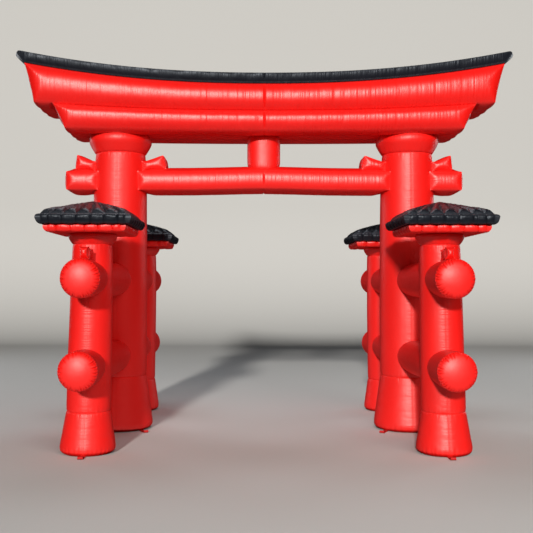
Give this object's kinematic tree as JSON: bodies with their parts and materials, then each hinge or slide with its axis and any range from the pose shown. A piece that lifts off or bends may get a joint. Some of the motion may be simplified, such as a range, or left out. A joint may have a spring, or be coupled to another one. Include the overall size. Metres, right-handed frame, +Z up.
{
  "type": "inflatable arch",
  "caption": "Walk-through inflatable gate of sewn air-filled fabric: swept double top beam under a roof strip, cross beam, pillars with flared feet, and roofed side posts tied on by tubes",
  "frame": {"origin": "on the ground under the middle of the gate, at the bottom centre of its box", "axes": "+X to the right along the beams as seen from the front, +Y from front to back, +Z up"},
  "size_m": [5.2222, 3.8534, 3.976],
  "materials": {
    "red_fabric": "satin coated fabric",
    "black_fabric": "satin coated fabric",
    "red_webbing": "woven webbing"
  },
  "bodies": {
    "root": {"kasagi": "red_fabric", "shimaki": "red_fabric", "roof_strip": "black_fabric", "strut": "red_fabric", "nuki": "red_fabric", "nuki_stub_left": "red_fabric", "nuki_wedge_outer_left": "red_fabric", "nuki_wedge_inner_left": "red_fabric", "pillar_left": "red_fabric", "pillar_foot_left": "red_fabric", "pillar_capital_left": "red_fabric", "post_wedge_left": "red_fabric", "loop_pillar_left": "red_webbing", "loop_post_left": "red_webbing", "post_front_left": "red_fabric", "post_foot_front_left": "red_fabric", "post_capital_front_left": "red_fabric", "slab_front_left": "red_fabric", "post_roof_front_left": "black_fabric", "tube_end_lower_front_left": "red_fabric", "tube_tie_lower_front_left": "red_fabric", "tube_end_upper_front_left": "red_fabric", "tube_tie_upper_front_left": "red_fabric", "post_back_left": "red_fabric", "post_foot_back_left": "red_fabric", "post_capital_back_left": "red_fabric", "slab_back_left": "red_fabric", "post_roof_back_left": "black_fabric", "tube_end_lower_back_left": "red_fabric", "tube_tie_lower_back_left": "red_fabric", "tube_end_upper_back_left": "red_fabric", "tube_tie_upper_back_left": "red_fabric", "nuki_stub_right": "red_fabric", "nuki_wedge_outer_right": "red_fabric", "nuki_wedge_inner_right": "red_fabric", "pillar_right": "red_fabric", "pillar_foot_right": "red_fabric", "pillar_capital_right": "red_fabric", "post_wedge_right": "red_fabric", "loop_pillar_right": "red_webbing", "loop_post_right": "red_webbing", "post_front_right": "red_fabric", "post_foot_front_right": "red_fabric", "post_capital_front_right": "red_fabric", "slab_front_right": "red_fabric", "post_roof_front_right": "black_fabric", "tube_end_lower_front_right": "red_fabric", "tube_tie_lower_front_right": "red_fabric", "tube_end_upper_front_right": "red_fabric", "tube_tie_upper_front_right": "red_fabric", "post_back_right": "red_fabric", "post_foot_back_right": "red_fabric", "post_capital_back_right": "red_fabric", "slab_back_right": "red_fabric", "post_roof_back_right": "black_fabric", "tube_end_lower_back_right": "red_fabric", "tube_tie_lower_back_right": "red_fabric", "tube_end_upper_back_right": "red_fabric", "tube_tie_upper_back_right": "red_fabric"}
  },
  "joints": []
}
